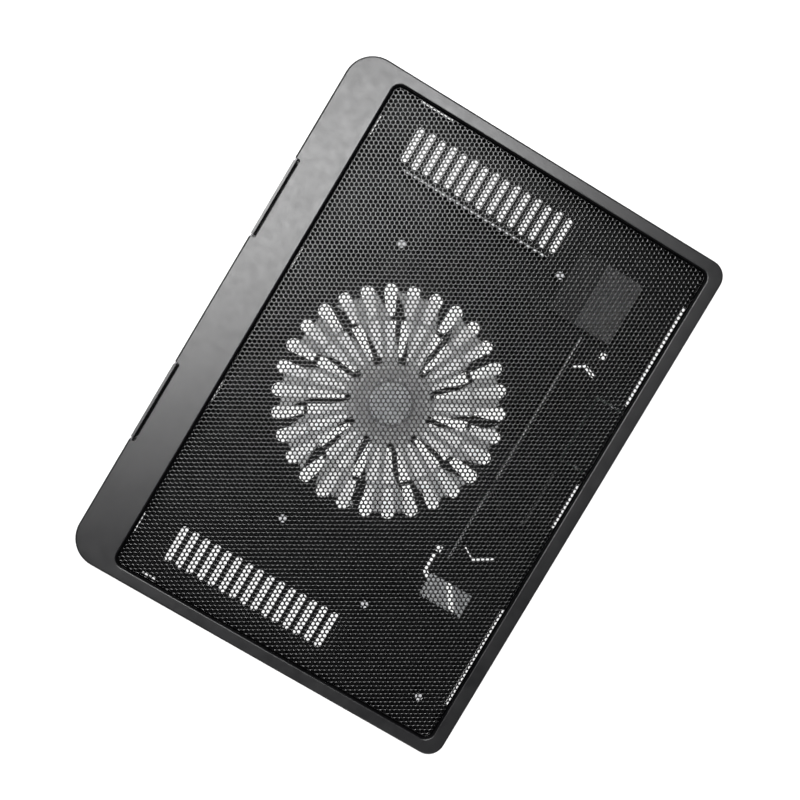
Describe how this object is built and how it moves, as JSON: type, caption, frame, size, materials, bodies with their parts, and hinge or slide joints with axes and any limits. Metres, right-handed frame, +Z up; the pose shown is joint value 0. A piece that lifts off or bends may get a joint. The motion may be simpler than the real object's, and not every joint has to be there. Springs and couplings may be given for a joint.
{
  "type": "laptop cooling pad",
  "caption": "Slim laptop cooling pad: moulded tray with a large fan under a perforated steel sheet, flip-up front stoppers and fold-out rear feet.",
  "frame": {"origin": "middle of the footprint, on the surface that the pad stands on", "axes": "+X to the right along the long side, +Y to the back edge, +Z up through the perforated sheet"},
  "size_m": [0.35, 0.26, 0.026],
  "materials": {
    "tray_plastic": "fine matt texture",
    "frame_plastic": "satin, finely textured",
    "sheet_paint": "glossy black paint",
    "steel": "bright",
    "screw_steel": "blackened",
    "socket_steel": "plated",
    "foot_rubber": "matt",
    "blade_plastic": "frosted clear",
    "motor_plastic": "matt",
    "bronze": "sintered",
    "lamination": "stacked sheets",
    "copper_wire": "enamelled",
    "board_green": "solder mask",
    "magnet": "sintered",
    "cap_foil": "plain satin foil",
    "tongue_plastic": "moulded",
    "lead_sleeve": "soft, slightly glossy",
    "pane_plastic": "frosted clear"
  },
  "bodies": {
    "base": {"bottom_shell": "tray_plastic", "top_frame": "frame_plastic", "mesh_sheet": "sheet_paint", "case_screws": "screw_steel", "rubber_feet": "foot_rubber", "stopper_pin_left": "screw_steel", "stopper_pin_right": "screw_steel", "foot_pin_left": "steel", "foot_pin_right": "steel", "fan_base": "motor_plastic", "fan_screws": "screw_steel", "bearing_sleeve": "bronze", "stator_core": "lamination", "stator_windings": "copper_wire", "fan_board": "board_green", "usb_board": "board_green", "usb_socket_left": "socket_steel", "usb_socket_right": "socket_steel", "usb_tongues": "tongue_plastic", "board_screws": "steel", "board_cover": "tray_plastic", "window_panes": "pane_plastic", "fan_lead": "lead_sleeve"},
    "rotor": {"fan_rotor": "blade_plastic", "fan_shaft": "steel", "magnet_ring": "magnet", "rotor_yoke": "steel", "shaft_clip": "motor_plastic", "hub_cap": "cap_foil"},
    "stopper_left": {"stopper_left": "frame_plastic"},
    "stopper_right": {"stopper_right": "frame_plastic"},
    "foot_left": {"foot_left": "frame_plastic", "foot_tip_left": "foot_rubber"},
    "foot_right": {"foot_right": "frame_plastic", "foot_tip_right": "foot_rubber"}
  },
  "joints": [
    {"name": "fan_spin", "type": "hinge", "parent": "base", "child": "rotor", "pos_m": [0, -0.0055, 0.011], "axis": [0, 0, 1], "continuous": true},
    {"name": "stopper_left_flip", "type": "hinge", "parent": "base", "child": "stopper_left", "pos_m": [-0.0705, -0.12885, 0.0242], "axis": [-1, 0, 0], "range_deg": [0, 180]},
    {"name": "stopper_right_flip", "type": "hinge", "parent": "base", "child": "stopper_right", "pos_m": [0.0705, -0.12885, 0.0242], "axis": [-1, 0, 0], "range_deg": [0, 180]},
    {"name": "foot_left_swing", "type": "hinge", "parent": "base", "child": "foot_left", "pos_m": [-0.12025, 0.0872, 0.0066], "axis": [1, 0, 0], "range_deg": [0, 100]},
    {"name": "foot_right_swing", "type": "hinge", "parent": "base", "child": "foot_right", "pos_m": [0.12025, 0.0872, 0.0066], "axis": [1, 0, 0], "range_deg": [0, 100]}
  ]
}
